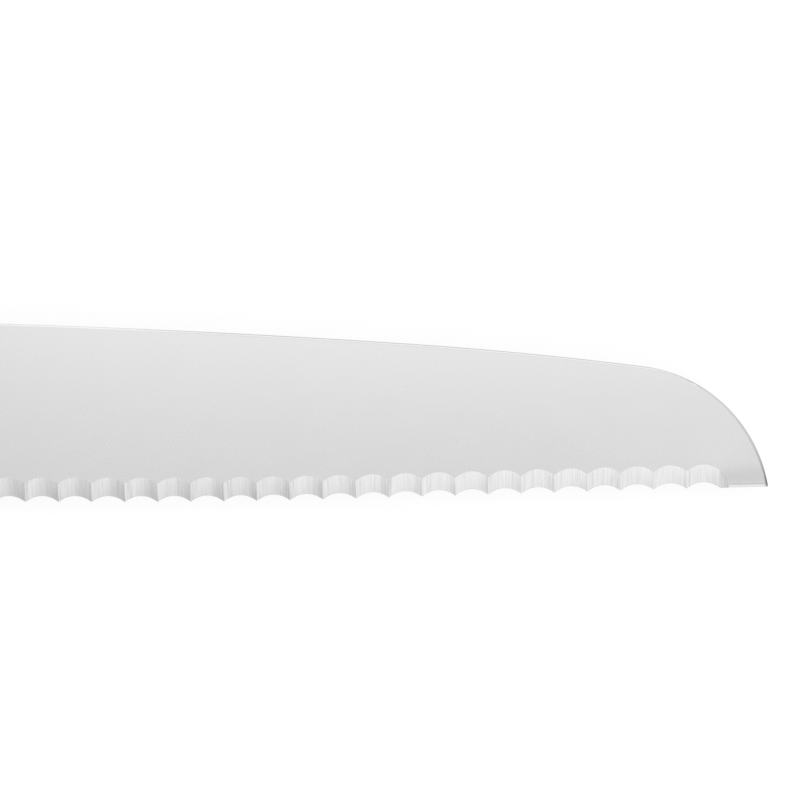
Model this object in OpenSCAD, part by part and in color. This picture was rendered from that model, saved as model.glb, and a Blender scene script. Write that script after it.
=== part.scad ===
// Bread knife: a wide blade with wheel-ground scallops, full tang, two riveted scales.
// It lies on its left side with the ground side up: +X to the tip, +Y to the spine, +Z up.
// The origin is the middle of its box, on the surface it lies on. All sizes in mm.

/* [Blade outline] */
// Blade length, heel to tip
blade_len = 230; // [200:1:270]
// Blade height at the heel, from the line of the cusps to the spine
heel_h = 45.6; // [40:0.2:52]
// Slope of the spine at the heel, falling to the tip
heel_slope = 1.04; // [0.6:0.02:1.6]
// Radius of the long, nearly straight rear part of the spine
rear_spine_r = 2880; // [2300:20:3600]
// Distance from the heel to where the spine starts to fall faster
spine_break = 141; // [120:1:160]
// Radius of the front part of the spine
front_spine_r = 980; // [850:10:1200]
// Length of the rounded nose, from the end of the spine to the tip
nose_len = 31.1; // [26:0.1:36]
// Height of the tip above the line of the cusps at the heel
tip_lift = 3.9; // [3.8:0.05:6]
// Distance from the heel to where the edge starts to rise
belly_start = 68; // [50:1:85]
// Distance from the heel to where the edge runs straight again
belly_end = 130; // [110:1:150]
// Slope of the edge from there to the tip
edge_rise = 1.73; // [1:0.05:1.8]
// Radius of the heel's lower corner
heel_r = 2; // [1:0.25:4]

/* [Blade section] */
// Thickness of the sheet steel, which the tang keeps
stock_t = 2.3; // [2.3:0.05:3]
// Ground thickness at the heel, at the spine
spine_t = 2.25; // [1.9:0.05:2.25]
// Ground thickness at the heel, carried down to the edge
edge_t = 1.4; // [1.2:0.05:1.7]
// Thickness that the blade loses along its length
taper_t = 0.18; // [0.05:0.01:0.35]
// Height of the bevel ground along the whole edge before the flutes
land_h = 4.4; // [3.5:0.1:4.6]
// Thickness of the plain edge below that bevel
plain_t = 0.8; // [0.6:0.05:1]
// Height of the fine sharpening bevel on the plain edge at the point
bevel_h = 0.7; // [0.4:0.05:1]
// Thickness left at the sharpened plain edge
sharp_t = 0.08; // [0.05:0.01:0.2]
// Width of the eased edge of the nose, at the tip
ease_w = 0.75; // [0.5:0.05:1.4]
// Depth of that easing, at the tip
ease_t = 0.55; // [0.3:0.05:0.8]

/* [Flutes] */
// Number of flutes, all ground into the right-hand side
flutes = 25; // [18:1:26]
// Spacing of the flutes along the edge
flute_pitch = 8.27; // [7:0.01:8.6]
// Plain edge from the last cusp to the tip
plain_point = 12; // [10:0.5:16]
// Depth of a scallop, from its cusps to its crown
scallop = 1.5; // [1.2:0.05:1.8]
// Angle of the flutes to the side of the blade
grind_angle = 17; // [15.5:0.5:19]
// Width of the steeper shoulder at the outer side of the first and the last flute
shoulder_w = 1.9; // [1.4:0.1:2.4]
// Slope of that shoulder
shoulder_angle = 15.5; // [14:0.5:20]
// Width of the rib that stays between a shoulder and the sharpened plain edge
rib_w = 0.2; // [0.1:0.05:0.4]

/* [Neck and tang] */
// Bare neck from the heel to the scales
neck_len = 12; // [10:0.5:18]
// Height of the tang's underside above the line of the cusps, at the scales' front
neck_low = 20.5; // [18:0.5:23]
// Radius of the hollow between the heel and the neck
neck_r = 10; // [6:0.5:10]
// Distance from the heel back to where the ground blade ends
plunge = 4; // [2:0.5:6]

/* [Handle] */
// Length of the scales
grip_len = 122; // [110:1:135]
// Radius of the handle's arched back
back_r = 900; // [700:20:1200]
// Radius of the hollow under the handle
palm_r = 420; // [340:10:600]
// Height of the handle's underside at the butt, above the line of the cusps
butt_low = 12; // [9:0.5:15]
// Thickness of one scale
scale_t = 7.2; // [6:0.1:9]
// Radius of the scales' rounded edges
scale_r = 3.5; // [2.5:0.1:4.5]
// Radius of the butt's upper corner
butt_top_r = 7; // [6:0.5:9]
// Radius of the butt's lower corner
butt_low_r = 9; // [6:0.5:10]
// Backward slant of the butt, from its lower to its upper corner
butt_slant = 3; // [0:0.5:6]

/* [Rivets] */
// Distance from the scales' front to the front rivet
rivet_inset = 18; // [14:0.5:24]
// Spacing of the three rivets
rivet_gap = 37; // [32:0.5:40]
// Diameter of the rivet heads
head_d = 8; // [6:0.1:9]
// Thickness of the rivet heads
head_t = 2; // [1.5:0.1:2.8]
// Diameter of the hollow half's tube
tube_d = 5; // [4:0.1:5.5]
// Diameter of the solid half's pin
pin_d = 3; // [2:0.1:3.4]
// Radial clearance of a rivet in its hole
rivet_fit = 0.05; // [0.02:0.01:0.1]
// Gap between the pin's end and the hollow half's closed head
pin_gap = 0.4; // [0.1:0.1:1]

/* [Hidden] */
$fn = 96;
steel = "gainsboro";
rivet_steel = "lightgray";
handle_black = [0.12, 0.12, 0.13];
over = 1;          // how far a cutter runs past what it cuts
cusp_lift = 0.04;  // how far the cusps stand above the blank's lower edge
flute_lap = 0.1;   // how far neighbouring flutes reach past their common cusp
flute_reach = 12;  // how far a flute's cutter runs up and down from its crown
flute_tall = 4;    // height of a flute's cutter above its floor
shoulder_rise = 0.01;  // step between the end flutes and their shoulders
ease_fade = 0.05;  // how far the nose's easing has left the steel where the nose starts
scale_margin = 0.5;  // how much wider the scales' front corners are rounded than their edges
butt_flat = 14;    // straight stretch of the handle's back and underside at the butt
line_steps = 14;   // steps along each long arc
corner_steps = 8;  // steps round each corner
edge_steps = 6;    // steps over the rounded edge of a scale

// A stretch of a convex arc of radius r that starts at p, from slope a0 to slope a1.
// A slope is positive where the line falls to the tip.
function arc_from(p, a0, a1, r, steps) =
    [for (i = [0:steps]) let (a = a0 + (a1 - a0) * i / steps)
        p + r * [sin(a) - sin(a0), cos(a) - cos(a0)]];
function last(list) = list[len(list) - 1];
function rest(list) = [for (i = [1:len(list) - 1]) list[i]];
function reverse(list) = [for (i = [len(list) - 1:-1:0]) list[i]];
function unit(v) = v / norm(v);

// The corner at p between its neighbours a and b, rounded with radius r
function corner(a, p, b, r) = let (
        da = unit(a - p), db = unit(b - p), half = acos(da * db) / 2,
        c = p + unit(da + db) * r / sin(half),
        s = p + da * r / tan(half) - c, e = p + db * r / tan(half) - c,
        from = atan2(s.y, s.x), turn = (atan2(e.y, e.x) - from + 540) % 360 - 180)
    [for (i = [0:corner_steps]) let (t = from + turn * i / corner_steps)
        c + r * [cos(t), sin(t)]];

// Spine, heel to tip: a long arc, a tighter one, and the round nose that ends at the tip
tip = [blade_len, tip_lift];
nose_u = blade_len - nose_len;
break_slope = asin(sin(heel_slope) + spine_break / rear_spine_r);
nose_slope = asin(sin(break_slope) + (nose_u - spine_break) / front_spine_r);
rear_spine = arc_from([0, heel_h], heel_slope, break_slope, rear_spine_r, line_steps);
front_spine = arc_from(last(rear_spine), break_slope, nose_slope, front_spine_r, line_steps);
nose_p = last(front_spine);
nose_in = [-sin(nose_slope), -cos(nose_slope)];
nose_r = pow(norm(tip - nose_p), 2) / (2 * (tip - nose_p) * nose_in);
nose_c = nose_p + nose_r * nose_in;
tip_slope = atan2(tip.x - nose_c.x, tip.y - nose_c.y);
nose = arc_from(nose_p, nose_slope, tip_slope, nose_r, 3 * line_steps);

// Line of the cusps: level, then a slow arc upwards, then straight to the tip
belly_r = (belly_end - belly_start) / sin(edge_rise);
function edge_v(u) = u < belly_start ? 0
    : u < belly_end ? belly_r - sqrt(pow(belly_r, 2) - pow(u - belly_start, 2))
    : belly_r * (1 - cos(edge_rise)) + (u - belly_end) * tan(edge_rise);
function edge_slope(u) = u < belly_start ? 0
    : u < belly_end ? asin((u - belly_start) / belly_r) : edge_rise;
last_cusp = blade_len - plain_point;
first_cusp = last_cusp - flutes * flute_pitch;
point_u = last_cusp + shoulder_w;
point_p = [point_u, edge_v(point_u)];
point_slope = atan2(tip.y - point_p.y, tip.x - point_p.x);
belly = [for (i = [0:line_steps])
    let (u = belly_start + (belly_end - belly_start) * i / line_steps) [u, edge_v(u)]];

// Handle outline: an arched back, a hollow underside and a slanted, rounded butt
grip_u = -neck_len;
butt_u = grip_u - grip_len;
function back_v(u) = let (slope = asin(sin(heel_slope) + u / back_r))
    heel_h + back_r * (cos(slope) - cos(heel_slope));
function palm_v(u) = let (share = (grip_u - u) / grip_len, off = grip_len * (share - 0.5))
    neck_low + (butt_low - neck_low) * share
    + sqrt(pow(palm_r, 2) - pow(off, 2)) - sqrt(pow(palm_r, 2) - pow(grip_len / 2, 2));
grip_steps = [for (i = [0:line_steps]) grip_u + (butt_flat - grip_len) * i / line_steps];
back = [for (u = grip_steps) [u, back_v(u)]];
palm = [for (u = grip_steps) [u, palm_v(u)]];
butt_top = [butt_u + butt_slant, back_v(butt_u + butt_slant)];
butt_bottom = [butt_u, palm_v(butt_u)];
butt_top_corner = corner(last(back), butt_top, butt_bottom, butt_top_r);
butt_bottom_corner = corner(butt_top, butt_bottom, last(palm), butt_low_r);

// Blank of the blade and its tang, from the heel's lower corner to the tip and back
blank = concat(
    corner([0, heel_h], [0, 0], [heel_h, 0], heel_r),
    belly, [point_p], reverse(nose), rest(reverse(front_spine)), rest(reverse(rear_spine)),
    back, butt_top_corner, butt_bottom_corner, reverse(palm),
    corner([grip_u, neck_low], [0, neck_low], [0, 0], neck_r));

// Outline of a scale: underside from the butt to the front, then the back to the butt
front_r = scale_r + scale_margin;
scale_outline = concat(
    butt_bottom_corner, reverse(rest(palm)),
    corner(palm[1], palm[0], back[0], front_r), corner(palm[0], back[0], back[1], front_r),
    rest(back), butt_top_corner);

// The part's own frame: the middle of its box, on the lower scale's flat face
us = [for (p = blank) p.x];
vs = [for (p = blank) p.y];
grip_z = scale_t + stock_t / 2;
to_frame = [-(min(us) + max(us)) / 2, -(min(vs) + max(vs)) / 2, grip_z];

// Ground thickness of the blade at u from the heel and v above the cusps
thin_up = (spine_t - edge_t) / heel_h;
thin_along = taper_t / blade_len;
function blade_t(u, v) = edge_t + thin_up * v - thin_along * u;
side_turn = atan(thin_along / 2);
side_tilt = atan(thin_up / 2 * cos(side_turn));

// Wheel radius that gives the scallop its depth where a flute leaves the flat left side
flute_rise = scallop * sin(grind_angle + side_tilt);
flute_r = (pow(flute_pitch / 2, 2) + pow(flute_rise, 2)) / (2 * flute_rise);

// Rivet places, front to rear, on the handle's middle line
rivets = [for (i = [0:2]) let (u = grip_u - rivet_inset - i * rivet_gap)
    [u, (back_v(u) + palm_v(u)) / 2]];

// Plane of the ground right-hand side, with z = 0 on the steel
module on_side() {
    translate([0, 0, edge_t / 2]) rotate([side_tilt, side_turn, 0]) children();
}

// A place on the edge: x along it, y up the blade, z up from the left side
module on_edge(p, slope) {
    translate([p.x, p.y, -blade_t(p.x, p.y) / 2]) rotate([0, 0, slope]) children();
}

// Everything above a line from (y0, z0) to (y1, z1), over a length of the edge
module bevel(length, y0, z0, y1, z1) {
    lean = (z1 - z0) / (y1 - y0);
    rotate([90, 0, 90]) linear_extrude(length)
        polygon([[y0 - over, z0 - over * lean], [y1 + over, z1 + over * lean],
            [y1 + over, 2 * stock_t], [y0 - over, 2 * stock_t]]);
}

// The bevel ground before the flutes, kept on the plain edge at both ends
function land_z(y) = plain_t + (edge_t + thin_up * land_h / 2 - plain_t) * y / land_h;
module land(length) { bevel(length, 0, plain_t, land_h, land_z(land_h)); }
module sharp(length) { bevel(length, 0, sharp_t, bevel_h, land_z(bevel_h)); }

// Section of the grinding wheel: the flute's floor is at y = 0
module flute_arc(left, right) {
    intersection() {
        translate([0, flute_r]) circle(flute_r, $fn = 240);
        translate([-left, -over]) square([left + right, flute_tall + over]);
    }
}
module shoulder() {
    x = flute_pitch / 2;
    y = flute_rise + shoulder_rise;
    lap = flute_lap / 2;
    polygon([[x - lap, y - lap * tan(shoulder_angle)],
        [x + shoulder_w, y + shoulder_w * tan(shoulder_angle)],
        [x + shoulder_w, flute_tall], [x - lap, flute_tall]]);
}
module wheel(is_first, is_last) {
    half = flute_pitch / 2;
    flute_arc(half + (is_first ? 0 : flute_lap), half + (is_last ? 0 : flute_lap));
    if (is_first) mirror([1, 0]) shoulder();
    if (is_last) shoulder();
}

// One flute: it leaves the left side at the crown and comes out of the right side higher up
module flute(i) {
    u = first_cusp + (i + 0.5) * flute_pitch;
    crown = cusp_lift + scallop;
    on_edge([u, edge_v(u)], edge_slope(u))
        translate([0, crown, -thin_up / 2 * crown]) rotate([grind_angle, 0, 0])
            rotate([90, 0, 0]) linear_extrude(2 * flute_reach, center = true)
                wheel(i == 0, i == flutes - 1);
}

// Easing of the nose's edge, which grows from nothing at the spine to full at the tip
module nose_easing() {
    to_tip = unit(tip - nose_c);
    spread = (ease_w + ease_fade) / (1 - unit(nose_p - nose_c) * to_tip);
    flare = ease_w / ease_t;
    face_r = nose_r + spread - ease_w;
    depth = ease_t + over;
    on_side() difference() {
        translate([nose_u, -over, -depth]) cube([nose_len + over, nose_p.y + 2 * over, 2 * depth]);
        translate(concat(nose_c - to_tip * spread, -depth - over))
            cylinder(h = 2 * depth + 2 * over, $fn = 240,
                r1 = face_r + (depth + over) * flare, r2 = face_r - (depth + over) * flare);
    }
}

module rivet_holes(diameter) {
    for (p = rivets) translate(concat(p, -grip_z))
        cylinder(d = diameter + 2 * rivet_fit, h = 2 * grip_z);
}

// Blade and full tang, one piece of steel
module blade() {
    translate(to_frame) color(steel) difference() {
        translate([0, 0, -stock_t / 2]) linear_extrude(stock_t) polygon(blank);
        for (side = [0, 1]) mirror([0, 0, side]) on_side()
            translate([-plunge, -heel_h, 0]) cube([blade_len + 2 * plunge, 3 * heel_h, stock_t]);
        on_edge([-over, 0], 0) land(over + first_cusp);
        on_edge([-over, 0], 0) sharp(over + first_cusp - shoulder_w - rib_w);
        on_edge([last_cusp, edge_v(last_cusp)], edge_rise) land(plain_point + over);
        on_edge(point_p, point_slope) translate([rib_w, 0, 0]) sharp(plain_point);
        for (i = [0:flutes - 1]) flute(i);
        nose_easing();
        rivet_holes(tube_d);
    }
}

// A closed outline moved inwards by d
function inset(ring, d) = [for (j = [0:len(ring) - 1]) let (
        n = len(ring), before = unit(ring[j] - ring[(j + n - 1) % n]),
        after = unit(ring[(j + 1) % n] - ring[j]), out = before + after)
    ring[j] - [out.y, -out.x] / (1 + before * after) * d];

// A scale's body: a straight wall from the tang, then an edge rounded over to the flat face
module scale_body() {
    n = len(scale_outline);
    layers = concat([[0, 0]], [for (k = [0:edge_steps]) let (a = 90 * k / edge_steps)
        [scale_t - scale_r + scale_r * sin(a), scale_r * (1 - cos(a))]]);
    top = (len(layers) - 1) * n;
    points = [for (l = layers) for (p = inset(scale_outline, l[1])) concat(p, l[0])];
    walls = [for (k = [0:len(layers) - 2]) for (j = [0:n - 1])
        let (a = k * n + j, b = k * n + (j + 1) % n)
        for (t = [[a, a + n, b + n], [a, b + n, b]]) t];
    under = [for (j = [0:n / 2 - 2]) [j, j + 1, n - 2 - j, n - 1 - j]];
    face = [for (j = [0:n / 2 - 2]) [top + n - 1 - j, top + n - 2 - j, top + j + 1, top + j]];
    polyhedron(points, concat(walls, under, face));
}
module scale_shape() {
    difference() {
        translate([0, 0, stock_t / 2]) scale_body();
        rivet_holes(tube_d);
        for (p = rivets) translate(concat(p, grip_z - head_t))
            cylinder(d = head_d + 2 * rivet_fit, h = head_t + over);
    }
}
module scale_right() { translate(to_frame) color(handle_black) scale_shape(); }
module scale_left() { translate(to_frame) color(handle_black) mirror([0, 0, 1]) scale_shape(); }

// Two-piece cutler's rivet: a headed pin from the right, driven into a headed tube
module rivet_pin(p) {
    translate(to_frame + concat(p, 0)) color(rivet_steel) union() {
        translate([0, 0, grip_z - head_t]) cylinder(d = head_d, h = head_t);
        translate([0, 0, head_t + pin_gap - grip_z])
            cylinder(d = pin_d, h = 2 * grip_z - 1.5 * head_t - pin_gap);
    }
}
module rivet_tube(p) {
    translate(to_frame + concat(p, 0)) color(rivet_steel) difference() {
        union() {
            translate([0, 0, -grip_z]) cylinder(d = head_d, h = head_t);
            translate([0, 0, head_t / 2 - grip_z])
                cylinder(d = tube_d, h = 2 * grip_z - 1.5 * head_t - pin_gap);
        }
        translate([0, 0, head_t - grip_z]) cylinder(d = pin_d + 2 * rivet_fit, h = 2 * grip_z);
    }
}

blade();
scale_right();
scale_left();
rivet_pin(rivets[0]);  // front_rivet_pin
rivet_tube(rivets[0]);  // front_rivet_tube
rivet_pin(rivets[1]);  // middle_rivet_pin
rivet_tube(rivets[1]);  // middle_rivet_tube
rivet_pin(rivets[2]);  // rear_rivet_pin
rivet_tube(rivets[2]);  // rear_rivet_tube
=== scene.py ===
import math
import bpy
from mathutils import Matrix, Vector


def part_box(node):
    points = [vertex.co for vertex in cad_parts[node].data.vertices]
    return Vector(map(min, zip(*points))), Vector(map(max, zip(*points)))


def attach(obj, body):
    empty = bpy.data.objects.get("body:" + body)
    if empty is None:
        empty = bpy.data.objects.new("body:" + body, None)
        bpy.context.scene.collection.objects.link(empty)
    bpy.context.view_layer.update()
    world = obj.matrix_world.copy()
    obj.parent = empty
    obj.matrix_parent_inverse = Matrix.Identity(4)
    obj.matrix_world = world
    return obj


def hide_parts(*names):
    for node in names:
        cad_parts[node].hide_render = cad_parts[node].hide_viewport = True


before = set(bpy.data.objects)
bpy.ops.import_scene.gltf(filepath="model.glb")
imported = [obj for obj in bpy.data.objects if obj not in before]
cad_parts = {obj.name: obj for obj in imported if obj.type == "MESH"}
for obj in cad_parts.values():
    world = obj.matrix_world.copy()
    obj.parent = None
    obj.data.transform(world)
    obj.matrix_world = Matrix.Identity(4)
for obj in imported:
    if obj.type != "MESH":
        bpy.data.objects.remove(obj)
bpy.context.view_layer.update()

# The camera hangs straight over the right-hand side of the blade, as in the photograph, which
# shows 200 mm of it. The knife lies on its left-hand side, so the spine is up in the picture.
shown_width = 0.200
camera_height = 0.60
shown_middle = (0.089304, 0.002704)
blade_z = 0.0082

camera_data = bpy.data.cameras.new("camera")
camera_data.sensor_width = 36
camera_data.lens = camera_data.sensor_width * camera_height / shown_width
camera = bpy.data.objects.new("camera", camera_data)
camera.location = (*shown_middle, blade_z + camera_height)
bpy.context.scene.collection.objects.link(camera)
bpy.context.scene.camera = camera
bpy.context.scene.view_settings.view_transform = "Standard"

# The light is a pale room with two softboxes over the table, one on the spine's side and one on
# the edge's side. The camera looks down through the gap between them.
room_light = 0.80
room_seen = 1
softboxes = {
    "spine_softbox": {"place": (0.56, 0.335, 0.85), "size": (1.60, 0.66), "radiance": 0.72},
    "edge_softbox": {"place": (0.44, -0.68, 0.85), "size": (1.30, 0.60), "radiance": 0.50},
}


def shown_rays(nodes, link):
    """1 for what the camera sees, also in a mirror or through glass, and 0 for what lights."""
    ray = nodes.new("ShaderNodeLightPath")
    shown = ray.outputs["Is Camera Ray"]
    for kind in ("Is Glossy Ray", "Is Transmission Ray"):
        either = nodes.new("ShaderNodeMath")
        either.operation = "MAXIMUM"
        link(shown, either.inputs[0])
        link(ray.outputs[kind], either.inputs[1])
        shown = either.outputs[0]
    return shown


room = bpy.data.worlds.new("pale room")
bpy.context.scene.world = room
room.use_nodes = True
nodes = room.node_tree.nodes
link = room.node_tree.links.new
nodes.clear()
choice = nodes.new("ShaderNodeMixShader")
link(shown_rays(nodes, link), choice.inputs[0])
for slot, strength in ((1, room_light), (2, room_seen)):
    air = nodes.new("ShaderNodeBackground")
    air.inputs["Color"].default_value = (1, 1, 1, 1)
    air.inputs["Strength"].default_value = strength
    link(air.outputs[0], choice.inputs[slot])
room_out = nodes.new("ShaderNodeOutputWorld")
link(choice.outputs[0], room_out.inputs["Surface"])

for name, box in softboxes.items():
    lamp = bpy.data.lights.new(name, "AREA")
    lamp.shape = "RECTANGLE"
    lamp.size = box["size"][0]
    lamp.size_y = box["size"][1]
    lamp.energy = box["radiance"] * math.pi * lamp.size * lamp.size_y
    softbox = bpy.data.objects.new(name, lamp)
    softbox.location = box["place"]
    softbox.visible_camera = False
    bpy.context.scene.collection.objects.link(softbox)

# The table is a plain white board, which lights the knife from below and keeps its soft shadow.
# The camera and mirrors see it mostly by its own light, so that it comes out white.
board_white = (0.90, 0.90, 0.90, 1)
board_glow = 1.05
glow_share = 0.82
table_size = 8
table_gap = 0.00005

bpy.ops.mesh.primitive_plane_add(size=table_size, location=(0, 0, -table_gap))
table = bpy.context.object
table.name = "table"
board = bpy.data.materials.new("white board")
board.use_nodes = True
nodes = board.node_tree.nodes
link = board.node_tree.links.new
nodes.clear()
glow_mix = nodes.new("ShaderNodeMath")
glow_mix.operation = "MULTIPLY"
glow_mix.inputs[1].default_value = glow_share
paint = nodes.new("ShaderNodeBsdfDiffuse")
paint.inputs["Color"].default_value = board_white
glow = nodes.new("ShaderNodeEmission")
glow.inputs["Strength"].default_value = board_glow
seen = nodes.new("ShaderNodeMixShader")
board_out = nodes.new("ShaderNodeOutputMaterial")
link(shown_rays(nodes, link), glow_mix.inputs[0])
link(glow_mix.outputs[0], seen.inputs[0])
link(paint.outputs[0], seen.inputs[1])
link(glow.outputs[0], seen.inputs[2])
link(seen.outputs[0], board_out.inputs["Surface"])
table.data.materials.append(board)

# The blade and its tang are one piece of stainless sheet steel. Both sides are ground to a
# slow wedge, and a round wheel, held at a low angle, grinds the flutes into the right side only.
# Sizes are in millimetres: u runs from the heel to the point and v up from the line of cusps.
blade_length = 230
heel_height = 45.6
heel_slope = math.radians(1.04)
rear_spine_radius = 2880
spine_break = 141
front_spine_radius = 980
nose_length = 31.1
tip_lift = 3.9
belly_start = 68
belly_end = 130
edge_rise = math.radians(1.73)
heel_radius = 2
stock = 2.3  # thickness of the sheet, which the tang keeps
spine_thickness = 2.25  # at the heel
edge_thickness = 1.4  # at the heel, before the flutes are ground
point_taper = 0.18  # thickness lost from heel to tip
plain_edge = 0.8
bevel_height = 0.7
sharp_edge = 0.08
flute_count = 25
flute_pitch = 8.27
plain_point = 12  # from the last cusp to the tip
scallop_depth = 1.5
cusp_lift = 0.04  # how far the cusps stand above the blank's lower edge
grind_angle = math.radians(17)
shoulder_width = 1.9
shoulder_angle = math.radians(15.5)
shoulder_wall = 0.12
rib_width = 0.2  # between a shoulder and the honed bevel
hone_run = 0.14  # over which the honed bevel sets in
neck_length = 12
neck_low = 20.5
neck_radius = 10
grip_length = 122
back_radius = 900
palm_radius = 420
butt_low = 12
butt_slant = 3
butt_flat = 14
butt_top_radius = 7
butt_low_radius = 9
plunge = 4  # how far the ground faces reach behind the heel
box_margin = 0.001

last_cusp = blade_length - plain_point
first_cusp = last_cusp - flute_count * flute_pitch
point_start = last_cusp + shoulder_width + shoulder_wall
heel_end = first_cusp - shoulder_width - shoulder_wall - rib_width - hone_run
grip_start = -neck_length
butt = grip_start - grip_length
row_origin = (48.696, 22.871, -8.35)


def arc_middle(start, slope, radius):
    """Middle of a convex arc that leaves start at a slope, which is positive where it falls."""
    return (start[0] - radius * math.sin(slope), start[1] - radius * math.cos(slope))


def height_on(middle, radius, u):
    return middle[1] + math.sqrt(radius**2 - (u - middle[0]) ** 2)


# The spine: a long arc, a tighter one, and the round nose down to the tip
tip = (blade_length, tip_lift)
nose_start = blade_length - nose_length
rear_middle = arc_middle((0, heel_height), heel_slope, rear_spine_radius)
break_slope = math.asin((spine_break - rear_middle[0]) / rear_spine_radius)
break_point = (spine_break, height_on(rear_middle, rear_spine_radius, spine_break))
front_middle = arc_middle(break_point, break_slope, front_spine_radius)
nose_slope = math.asin((nose_start - front_middle[0]) / front_spine_radius)
nose_point = (nose_start, height_on(front_middle, front_spine_radius, nose_start))
to_tip = (tip[0] - nose_point[0], tip[1] - nose_point[1])
nose_radius = (to_tip[0] ** 2 + to_tip[1] ** 2) / (
    -2 * (to_tip[0] * math.sin(nose_slope) + to_tip[1] * math.cos(nose_slope)))
nose_middle = arc_middle(nose_point, nose_slope, nose_radius)
back_middle = arc_middle((0, heel_height), heel_slope, back_radius)

blade_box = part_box("blade")
highest_v = blade_box[1].y * 1000 + row_origin[1] - box_margin
rearmost_u = blade_box[0].x * 1000 + row_origin[0] + box_margin


def spine_v(u):
    if u < 0:
        return min(height_on(back_middle, back_radius, u), highest_v)
    if u < spine_break:
        return height_on(rear_middle, rear_spine_radius, u)
    if u < nose_start:
        return height_on(front_middle, front_spine_radius, u)
    return max(height_on(nose_middle, nose_radius, u), tip_lift)


belly_radius = (belly_end - belly_start) / math.sin(edge_rise)


def edge_slope(u):
    return math.asin(min(max((u - belly_start) / belly_radius, 0), math.sin(edge_rise)))


def edge_v(u):
    slope = edge_slope(u)
    return belly_radius * (1 - math.cos(slope)) + max(u - belly_end, 0) * math.tan(edge_rise)


def palm_v(u):
    share = (grip_start - u) / grip_length
    hollow = math.sqrt(palm_radius**2 - (grip_length * (share - 0.5)) ** 2)
    ends = math.sqrt(palm_radius**2 - (grip_length / 2) ** 2)
    return neck_low + (butt_low - neck_low) * share + hollow - ends


def rounded(before, corner, after, radius, steps):
    """Points of the arc that rounds a corner."""
    to_before = math.atan2(before[1] - corner[1], before[0] - corner[0])
    to_after = math.atan2(after[1] - corner[1], after[0] - corner[0])
    turn = (to_after - to_before + math.pi) % (2 * math.pi) - math.pi
    reach = radius / math.sin(abs(turn) / 2)
    middle = (corner[0] + reach * math.cos(to_before + turn / 2),
              corner[1] + reach * math.sin(to_before + turn / 2))
    side = math.copysign(math.pi / 2, turn)
    start = to_before - side
    sweep = turn - 2 * side
    return [(middle[0] + radius * math.cos(start + sweep * k / steps),
             middle[1] + radius * math.sin(start + sweep * k / steps)) for k in range(steps + 1)]


# Stations along the blank: each has a point below, one above, and which grinding it gets
grindings = ("fluted", "shoulder", "pointed", "square", "honed")
corner_steps = 16
grip_steps = 40
neck_steps = 12
heel_steps = 8
edge_steps = 12
flute_steps = 26
shoulder_steps = 8
point_steps = 46
over_neck_end = -2  # where the station from the neck's end meets the spine
over_heel_front = 1  # where the station from the heel's front meets it
stations = []


def station(low, high, **grinding):
    stations.append((low, high, *[grinding.get(name, 0) for name in grindings]))


butt_top = (butt + butt_slant, spine_v(butt + butt_slant))
butt_bottom = (butt, palm_v(butt))
grip_end = butt + butt_flat
grip_us = [grip_end + (grip_start - grip_end) * k / grip_steps for k in range(grip_steps + 1)]
top_corner = rounded((grip_end, spine_v(grip_end)), butt_top, butt_bottom,
                     butt_top_radius, corner_steps)
low_corner = rounded((grip_end, palm_v(grip_end)), butt_bottom, butt_top,
                     butt_low_radius, corner_steps)
butt_middle = ((top_corner[-1][0] + low_corner[-1][0]) / 2,
               (top_corner[-1][1] + low_corner[-1][1]) / 2)
station(butt_middle, butt_middle)
for low, high in zip(reversed(low_corner), reversed(top_corner)):
    station((max(low[0], rearmost_u), low[1]), (max(high[0], rearmost_u), high[1]), square=1)
for u in grip_us:
    station((u, palm_v(u)), (u, spine_v(u)), square=1)
for k in range(neck_steps + 1):
    turn = math.pi / 2 * k / neck_steps
    low = (neck_radius * (math.sin(turn) - 1), neck_low - neck_radius * (1 - math.cos(turn)))
    u = low[0] + over_neck_end * (k / neck_steps)
    station(low, (u, spine_v(u)), square=1)
for k in range(1, heel_steps + 1):
    u = over_neck_end + (over_heel_front - over_neck_end) * k / heel_steps
    v = neck_low - neck_radius - (neck_low - neck_radius - heel_radius) * k / heel_steps
    station((0, v), (u, spine_v(u)), square=1)
for k in range(1, heel_steps + 1):
    turn = math.pi / 2 * k / heel_steps
    low = (heel_radius * (1 - math.cos(turn)), heel_radius * (1 - math.sin(turn)))
    u = over_heel_front + (heel_radius - over_heel_front) * k / heel_steps
    station(low, (u, spine_v(u)), square=1 - k / heel_steps, honed=k / heel_steps)
for k in range(1, edge_steps + 1):
    u = heel_radius + (heel_end - heel_radius) * k / edge_steps
    station((u, 0), (u, spine_v(u)), honed=1)
for u in (heel_end + hone_run, heel_end + hone_run + rib_width):
    station((u, 0), (u, spine_v(u)))


def spine_over(u, v, lean):
    """Where a line that leans back from (u, v) meets the spine, found in a few rounds."""
    above = u
    for _ in range(4):
        above = u - lean * (spine_v(above) - v)
    return (above, spine_v(above))


def leaning(u, **grinding):
    """A station whose line stands square on the edge; the lean dies out towards the tip."""
    lean = math.tan(edge_slope(u))
    lean *= 1 - max(u - last_cusp, 0) / plain_point
    v = edge_v(u)
    station((u, v), spine_over(u, v, lean), **grinding)


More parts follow.
